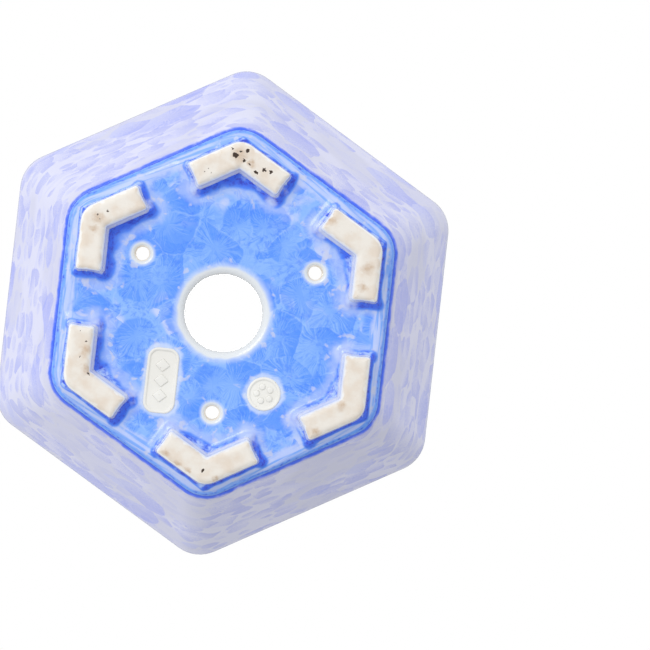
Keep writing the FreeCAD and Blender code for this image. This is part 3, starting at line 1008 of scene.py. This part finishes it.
def crystals(bench, place, size, needles, seed, dimensions="2D"):
    """Gives (distance from the seed in cells, needle tone, random number, lean of the shade)."""
    moved = bench.vec("ADD", place, SEED_STEP * seed)
    cells = cell_texture(bench, moved, size, voronoi_dimensions=dimensions, feature="F1")
    away = bench.vec("SUBTRACT", moved, cells.outputs["Position"])
    if dimensions == "2D":
        away = bench.vec("MULTIPLY", away, FLATTEN)
    parts = bench.add("SeparateColor")
    bench.feed(parts.inputs[0], cells.outputs["Color"])
    way = bench.times(bench.vec("NORMALIZE", away), needles)
    own = bench.vec("ADD", way, bench.times(cells.outputs["Color"], OWN_STEP))
    tone = bench.noise(bench.vec("ADD", own, bench.times(moved, 0.1)), 1.0, 2.5, 0.6)
    slope = bench.vec("SUBTRACT", cells.outputs["Color"], GREY)
    lean = bench.vec("DOT_PRODUCT", bench.times(away, 1 / size), slope)
    return cells.outputs["Distance"], tone, parts.outputs[0], lean


# %% [markdown]
# ## The floor's glaze
# Three growths of crystals lie on a hazy ground: small fans, large ones, and a fuzz of fine needles. Then
# comes what gravity did in the kiln: deep blue pools in the corners at the feet and under the wall, and
# white where the coat ran thin over an edge. On top of that, the pools at the feet are painted darker on the
# side away from the light, as painted shade. The distances stored on the mesh say where. All sizes below
# are in millimetres.

# %% Colours of the floor's glaze
HAZE = paint(196, 210, 250)
BARE = paint(203, 209, 234)
PALE = paint(214, 227, 250)
WHITE = paint(226, 231, 236)
SKY = paint(138, 184, 255)
LIGHT = paint(160, 198, 255)
BLUE = paint(76, 143, 255)
DEEP = paint(36, 98, 244)
INK = paint(12, 34, 196)
SMALL_FAN = 4.2
LARGE_FAN = 12.0
LARGE_SEED = 2

# %% Crystals on the floor
def floor_crystals(bench, flat):
    """Lays the growths. Gives the wandering places that they used and the large needles' tone."""
    wander = bench.stir(flat, 9.0, 5.0)
    feather = bench.stir(wander, 1.1, 0.5, 3.0)
    fluff = bench.stir(wander, 1.1, 1.3, 3.0)
    bench.colour = bench.mix(bench.fit(bench.noise(flat, 11.0, 3.0), 0.50, 0.66), SKY, HAZE)

    _, tone, own, lean = crystals(bench, feather, SMALL_FAN, 5.0, 1)
    small = bench.mix(bench.fit(bench.plus(tone, bench.by(lean, 0.6)), 0.32, 0.66), BLUE, SKY)
    bench.lay(small, bench.fit(own, 0.2, 0.4), 0.8)

    far, tone, own, lean = crystals(bench, feather, LARGE_FAN, 16.0, LARGE_SEED)
    spokes = bench.by(bench.less(tone, 0.5), bench.fit(far, 0.0, 0.4, 0.15, 1.1))
    shade = bench.plus(bench.plus(spokes, 0.5), bench.by(lean, 0.9))
    shade = bench.less(shade, bench.by(far, 0.2))
    large = bench.mix(bench.fit(shade, 0.28, 0.62), BLUE, SKY)
    reach = bench.fit(own, 0.0, 1.0, 0.38, 0.80)
    bench.lay(large, bench.fit(bench.less(reach, far), -0.03, 0.04), 0.72)

    # a hairline of light runs where two large fans met
    moved = bench.vec("ADD", feather, SEED_STEP * LARGE_SEED)
    seam = cell_texture(bench, moved, LARGE_FAN, voronoi_dimensions="2D", feature="DISTANCE_TO_EDGE")
    here = bench.fit(bench.noise(flat, 9.0, 1.0), 0.42, 0.56)
    bench.lay(LIGHT, bench.by(bench.fit(seam.outputs["Distance"], 0.035, 0.005), here), 0.4)

    fuzz = bench.fit(bench.noise(fluff, 1.5, 4.0, 0.65), 0.48, 0.62)
    patch = bench.fit(bench.noise(flat, 8.0, 2.0), 0.38, 0.58)
    bench.lay(paint(60, 126, 252), bench.by(fuzz, patch), 0.5)
    return feather, tone


# %% [markdown]
# The crystals leave bare islands in a pale band outside the pools and round the seals. Every border is
# shaken with the same slow noise, so that no line on the pot is drawn with a ruler.

# %% Pale bands and islands
def shaken(bench, value, wobble, strength):
    """A distance, shaken by some noise."""
    return bench.plus(value, bench.by(wobble, strength))


def pale_bands(bench, flat, feather, wobble):
    edge = bench.stored("edge_gap")
    # The pale band follows the pools' border, which is shifted away from the light as painted shade.
    shore = shaken(bench, bench.stored("pool_and_shade_gap"), wobble, 5.0)
    bench.lay(HAZE, bench.fit(shore, 6.0, 3.4), 0.45)
    rim = shaken(bench, edge, wobble, 3.5)
    across = bench.add("CombineXYZ")
    bench.feed(across.inputs[0], edge)
    ribbon = bench.vec("ADD", across.outputs[0], bench.times(flat, 0.09))
    trickle = bench.mix(bench.fit(bench.noise(ribbon, 1.0, 2.0), 0.46, 0.64), HAZE, paint(126, 172, 250))
    bench.lay(trickle, bench.fit(rim, 5.6, 3.6), 0.8)
    round_seals = shaken(bench, bench.stored("seal_gap"), wobble, 3.0)
    near = bench.do("MAXIMUM", bench.fit(shore, 8.5, 4.5), bench.fit(round_seals, 7.0, 1.0))
    near = bench.do("MAXIMUM", near, bench.fit(bench.stored("hole_gap"), 9.0, 3.5))
    islands = shaken(bench, bench.noise(feather, 3.2, 3.0, 0.5), near, 0.09)
    bench.lay(BARE, bench.by(bench.fit(islands, 0.655, 0.75), bench.fit(near, 0.1, 0.9, 0.0, 0.7)))
    bench.lay(PALE, bench.fit(round_seals, 1.6, 0.2), 0.7)


# %% [markdown]
# The pools at the feet are painted wider and darker on the side away from the light, and paler on the lit
# side, as painted shade and light. They are thin and broken at the ends of the arms.

# %% Pools at the feet
def foot_pools(bench, flat, wobble, streaks):
    spread = bench.by(bench.less(bench.noise(flat, 7.0, 1.0), 0.5), 3.4)
    edge = bench.plus(bench.stored("pool_and_shade_gap"), shaken(bench, spread, wobble, 1.3))
    # Painted shade and light: the pools are made wider and darker on the side of each foot away from the
    # light, and paler on the lit side.
    toward_shade = shaken(bench, bench.stored("shade_side"), wobble, 3.0)
    edge = bench.plus(edge, bench.fit(toward_shade, 0.5, -0.8, 0.0, 0.6))
    tone = bench.mix(bench.fit(streaks, 0.32, 0.54), INK, DEEP)
    tone = bench.mix(bench.fit(edge, 1.2, 3.0), tone, BLUE)
    # Painted light: a paler blue on the lit side of each pool.
    lit_side_tone = bench.mix(bench.fit(streaks, 0.38, 0.62), DEEP, paint(100, 162, 255))
    tone = bench.mix(bench.by(bench.fit(toward_shade, 0.35, -0.75), 0.85), tone, lit_side_tone)
    bench.lay(tone, bench.fit(edge, 3.3, 2.2), 0.92)
    # Painted light: pale glaze at the pool's border on the lit side.
    lit_side_pale = bench.by(bench.fit(streaks, 0.36, 0.54, 0.35, 1.0), bench.fit(toward_shade, 0.1, -0.5))
    bench.lay(paint(190, 212, 252), bench.by(bench.fit(edge, 2.6, 1.6), lit_side_pale), 0.75)
    # The thin glaze at the arm ends is kept off the side away from the light, as painted shade.
    tips = shaken(bench, bench.stored("tip_gap"), wobble, 3.5)
    bench.lay(HAZE, bench.by(bench.fit(tips, 4.0, 1.8), bench.fit(toward_shade, 0.9, 0.0)), 0.7)


# %% Floor glaze material
def floor_glaze_material():
    bench = Bench("blue crystalline glaze on the floor")
    place = bench.place()
    flat = bench.vec("MULTIPLY", place, FLATTEN)
    feather, large_tone = floor_crystals(bench, flat)
    wobble = bench.less(bench.noise(flat, 4.0, 3.0), 0.5)
    pale_bands(bench, flat, feather, wobble)
    streaks = bench.noise(bench.vec("MULTIPLY", place, (1, 1, 3)), 1.4, 3.0, 0.6)
    foot_pools(bench, flat, wobble, streaks)

    # the dark line under the wall, then white round the holes
    line = shaken(bench, bench.stored("edge_gap"), wobble, 0.8)
    line_tone = bench.mix(bench.fit(streaks, 0.30, 0.52), paint(36, 82, 230), paint(104, 164, 255))
    bench.lay(line_tone, bench.fit(line, 1.5, 0.7), 0.9)
    mouth = shaken(bench, bench.stored("hole_gap"), wobble, 1.2)
    bench.lay(PALE, bench.fit(mouth, 4.2, 2.4), 0.55)
    bench.lay(WHITE, bench.fit(mouth, 2.8, 1.7))

    bench.fill(bench.shader, {"IOR": GLASS_IOR})
    height = shaken(bench, bench.noise(flat, 5.0, 2.0), large_tone, 0.25)
    return bench.finish(0.14, height, relief=0.25, depth=0.12 * MM)


floor_glaze.data.materials.append(floor_glaze_material())

# %% [markdown]
# ## The wall's glaze
# Up the wall the crystals are wider and paler, with white between them. The wall turns corners, so its
# crystals are cells in space rather than on a flat, and the wall cuts through them.

# %% Wall glaze material
WALL_SMALL_FAN = 7.0
WALL_LARGE_FAN = 17.0


def wall_glaze_material():
    bench = Bench("pale crystalline glaze on the wall")
    place = bench.place()
    wander = bench.stir(place, 14.0, 5.0)
    feather = bench.stir(wander, 1.2, 0.6, 3.0)
    patch = bench.noise(wander, 24.0, 1.0)
    bench.colour = bench.mix(bench.fit(patch, 0.40, 0.60), paint(214, 217, 250), paint(202, 205, 238))

    # small fans cover most of the wall, with fine needles
    far, tone, own, lean = crystals(bench, feather, WALL_SMALL_FAN, 16.0, 4, "3D")
    shade = bench.plus(tone, bench.by(lean, 0.7))
    small = bench.mix(bench.fit(shade, 0.36, 0.60), paint(148, 160, 246), paint(206, 210, 252))
    reach = bench.less(bench.fit(own, 0.0, 1.0, 0.34, 1.0), far)
    bench.lay(small, bench.by(bench.fit(reach, -0.04, 0.10), bench.fit(patch, 0.62, 0.50, 0.25, 0.8)))

    # large fans lie here and there, with a clear border
    far, tone, own, lean = crystals(bench, feather, WALL_LARGE_FAN, 14.0, 3, "3D")
    shade = bench.plus(tone, bench.by(lean, 0.8))
    large = bench.mix(bench.fit(shade, 0.34, 0.66), paint(130, 146, 249), paint(178, 188, 254))
    reach = bench.fit(own, 0.30, 1.0, 0.0, 0.66)
    bench.lay(large, bench.fit(bench.less(reach, far), -0.015, 0.02), 0.68)

    # paler on the ridges, and a blue line at the foot
    ridge = shaken(bench, bench.stored("corner_gap"), bench.noise(place, 5.0), 4.0)
    bench.lay(paint(232, 234, 242), bench.fit(ridge, 9.0, 3.0), 0.18)
    foot = shaken(bench, bench.stored("rise"), bench.noise(place, 3.0), 1.0)
    bench.lay(DEEP, bench.fit(foot, 1.1, 0.3), 0.9)
    bench.fill(bench.shader, {"IOR": GLASS_IOR})
    height = shaken(bench, bench.noise(place, 6.0, 2.0), tone, 0.2)
    return bench.finish(0.16, height, relief=0.2, depth=0.15 * MM)


wall_glaze.data.materials.append(wall_glaze_material())

# %% [markdown]
# ## The feet's finish
# A foot is one piece of clay with two finishes. The potter wiped the standing face, so it fired to a warm
# bare white with a few stains. Glaze ran down the sides, white where it broke over the edge and blue at
# the root.

# %% Stains on the feet, as x, y and radius
SOOT = [
    (1.6, 45.4, 1.15), (-1.7, 46.8, 0.75), (-1.1, 44.2, 0.7), (0.2, 46.6, 0.5), (2.6, 47.0, 0.45),
    (-2.6, 43.2, 0.4), (-4.8, 41.1, 0.75), (-7.0, 41.9, 0.8), (-9.1, 41.6, 0.7), (8.8, 40.6, 0.3),
    (9.8, 39.6, 0.3), (7.9, 39.3, 0.28), (38.6, 24.1, 0.4), (36.2, 25.4, 0.5), (38.0, 22.6, 0.35),
    (0.9, -45.5, 0.7), (39.2, -17.0, 0.4), (38.0, -12.4, 0.3), (40.0, -9.6, 0.25), (36.4, -21.6, 0.5),
]
TEA = [
    (0.4, 45.0, 3.4), (-3.0, 43.4, 2.0), (38.6, 23.0, 2.6), (39.3, 19.8, 2.0), (-27.5, 29.7, 2.2),
    (-39.9, 17.4, 2.6), (-38.9, 11.6, 1.8), (11.5, -41.8, 1.6), (8.3, -44.4, 1.6), (5.1, -46.2, 1.5),
    (-3.1, -47.2, 1.2), (38.2, -15.2, 2.4), (36.8, -20.4, 2.6), (-36.5, -22.5, 2.2), (-30.0, -30.5, 1.8),
]


def marks(bench, place, spots, core):
    """How strongly any of the marks covers a point."""
    cover = 0.0
    for x, y, radius in spots:
        far = bench.vec("DISTANCE", place, (x, y, 0.0))
        cover = bench.do("MAXIMUM", cover, bench.fit(far, radius, radius * core))
    return cover


# %% Foot material
BONE = paint(234, 229, 221)
BONE_WARM = paint(226, 214, 200)


def foot_material():
    bench = Bench("bare clay with glazed sides")
    place = bench.place()
    parts = bench.add("SeparateXYZ")
    bench.feed(parts.inputs[0], place)
    height = parts.outputs[2]
    flat = bench.vec("MULTIPLY", place, FLATTEN)
    bench.colour = bench.mix(bench.fit(bench.noise(place, 5.0, 3.0), 0.35, 0.7), BONE, BONE_WARM)
    bench.lay(paint(180, 160, 135), bench.fit(bench.noise(place, 0.5, 2.0), 0.66, 0.8, 0.0, 0.35))
    tea = bench.by(marks(bench, bench.stir(flat, 2.0, 3.0), TEA, 0.1), bench.noise(flat, 0.8, 3.0, 0.7))
    bench.lay(paint(178, 136, 84), tea, 0.9)
    soot = marks(bench, bench.stir(flat, 0.8, 1.5, 3.0), SOOT, 0.45)
    bench.lay(paint(52, 34, 20), bench.fit(soot, 0.35, 0.6))
    level = shaken(bench, height, bench.less(bench.noise(place, 2.2, 3.0), 0.5), 2.0)
    side = bench.mix(bench.fit(level, 3.4, 6.0), paint(244, 244, 243), paint(128, 158, 238))
    side = bench.mix(bench.fit(level, 5.4, 6.4), side, paint(58, 96, 226))
    glazed = bench.fit(level, 0.3, 0.9)
    bench.lay(side, glazed)
    bench.fill(bench.shader, {"Coat Weight": bench.by(glazed, 0.6), "Coat Roughness": 0.08})
    roughness = bench.fit(glazed, 0.0, 1.0, 0.62, 0.2)
    return bench.finish(roughness, bench.noise(place, 0.7, 4.0, 0.6), relief=0.35, depth=0.06 * MM)


bare_foot_clay = foot_material()
for foot in feet:
    foot.data.materials.append(bare_foot_clay)


# %% [markdown]
# ## Clay and seals
# The body is a fine white stoneware. Inside the pot it is left bare, slightly rough, with a few iron
# specks. The seals are the same clay, pressed smooth and wiped.

# %% Clay materials
def clay_material(name, light, warm, roughness, grain):
    bench = Bench(name)
    place = bench.place()
    bench.colour = bench.mix(bench.fit(bench.noise(place, 14.0, 3.0), 0.3, 0.7), light, warm)
    bench.lay(paint(150, 120, 90), bench.fit(bench.noise(place, 0.9, 1.0), 0.74, 0.8, 0.0, 0.5))
    height = shaken(bench, bench.noise(place, 0.6, 4.0, 0.6), bench.noise(place, 7.0), 2.0)
    return bench.finish(roughness, height, relief=grain, depth=0.08 * MM)


white_clay = clay_material("white stoneware", paint(238, 234, 226), paint(228, 220, 208), 0.7, 0.5)
for piece in (clay_wall, clay_floor):
    piece.data.materials.append(white_clay)
seal_clay = clay_material("pressed seal clay", paint(240, 240, 236), paint(232, 231, 226), 0.42, 0.3)
for piece in (seal_long, seal_round):
    piece.data.materials.append(seal_clay)


# %% [markdown]
# ## The stage
# The pot stands on a plain pale floor. We look at it from straight below, so the floor is one-way: its
# underside is clear, and it throws no shade or light upwards. The world is white, like a light tent, and
# lights the pot more strongly from one side.

# %% Floor, world and lights
FLOOR_SIZE = 3.0
FADE = (-1.15, -0.1)
BRIGHT_SIDE = (0.62, 0.78, -0.1)


def one_way_floor():
    """A pale floor that can be seen only from above."""
    bm = bmesh.new()
    bmesh.ops.create_grid(bm, x_segments=1, y_segments=1, size=FLOOR_SIZE)
    mesh = bpy.data.meshes.new("pale_floor")
    bm.to_mesh(mesh)
    bm.free()
    floor = bpy.data.objects.new("pale_floor", mesh)
    bpy.context.collection.objects.link(floor)
    bench = Bench("pale floor")
    bench.fill(bench.shader, {"Base Color": paint(232, 232, 230), "Roughness": 0.8})
    from_below = bench.add("NewGeometry").outputs["Backfacing"]
    clear = bench.add("BsdfTransparent").outputs[0]
    mixer = bench.fill(bench.add("MixShader"), {0: from_below, 1: bench.shader.outputs[0], 2: clear})
    bench.fill(bench.nodes["Material Output"], {"Surface": mixer.outputs[0]})
    mesh.materials.append(bench.material)
    for ray in ("diffuse", "glossy", "transmission", "shadow"):
        setattr(floor, "visible_" + ray, False)


def white_world(bright, dim):
    """A white surround: pure white to the eye, and as a light brighter on one side than on the other."""
    world = bpy.data.worlds.new("light tent")
    bpy.context.scene.world = world
    world.use_nodes = True
    nodes, links = world.node_tree.nodes, world.node_tree.links
    background = nodes["Background"]
    background.inputs["Color"].default_value = (1, 1, 1, 1)
    side = nodes.new("ShaderNodeVectorMath")
    side.operation = "DOT_PRODUCT"
    links.new(nodes.new("ShaderNodeTexCoord").outputs["Generated"], side.inputs[0])
    side.inputs[1].default_value = Vector(BRIGHT_SIDE).normalized()
    spread = nodes.new("ShaderNodeMapRange")
    links.new(side.outputs["Value"], spread.inputs[0])
    spread.interpolation_type = "SMOOTHSTEP"
    for socket, value in zip(list(spread.inputs)[1:5], (*FADE, dim, bright)):
        socket.default_value = value
    strength = nodes.new("ShaderNodeMapRange")
    links.new(nodes.new("ShaderNodeLightPath").outputs["Is Camera Ray"], strength.inputs[0])
    links.new(spread.outputs[0], strength.inputs[3])
    strength.inputs[4].default_value = 1.0
    links.new(strength.outputs[0], background.inputs["Strength"])


def soft_light(name, spot, aim, size, power):
    """A square area light that points from its spot at its aim."""
    data = bpy.data.lights.new(name, "AREA")
    data.size = size
    data.energy = power
    light = bpy.data.objects.new(name, data)
    light.location = spot
    light.rotation_euler = (Vector(aim) - Vector(spot)).to_track_quat("-Z", "Y").to_euler()
    bpy.context.collection.objects.link(light)


one_way_floor()
white_world(bright=0.90, dim=0.34)
soft_light("key", spot=(0.50, 0.42, -0.85), aim=(0, 0, 0), size=0.5, power=3.2)
soft_light("top", spot=(0, 0, 1.4), aim=(0, 0, 0.05), size=0.5, power=6.0)
bpy.context.scene.view_settings.view_transform = "Standard"

# %% [markdown]
# ## The camera
# The camera is on the pot's axis, below it, and looks up. It is turned a little, as the pot was held, and
# aimed a little to one side, so that the pot sits left of the middle with room for the hand that isn't
# there.

# %% Camera
FAR = 0.80
TURN = math.radians(6.45)
LENS = 153.5
SENSOR = 36.0
ASIDE = 29.35 * MM
ALOFT = -3.46 * MM
right = Vector((-math.cos(TURN), math.sin(TURN), 0))
upward = Vector((math.sin(TURN), math.cos(TURN), 0))
spot = Vector((0, 0, UNDER - FAR))
aim = Vector((0, 0, UNDER)) + right * ASIDE + upward * ALOFT
back = (spot - aim).normalized()
level_right = upward.cross(back).normalized()
level_up = back.cross(level_right)
data = bpy.data.cameras.new("camera")
data.lens = LENS
data.sensor_width = SENSOR
camera = bpy.data.objects.new("camera", data)
camera.matrix_world = Matrix.Translation(spot) @ Matrix((level_right, level_up, back)).transposed().to_4x4()
bpy.context.collection.objects.link(camera)
bpy.context.scene.camera = camera
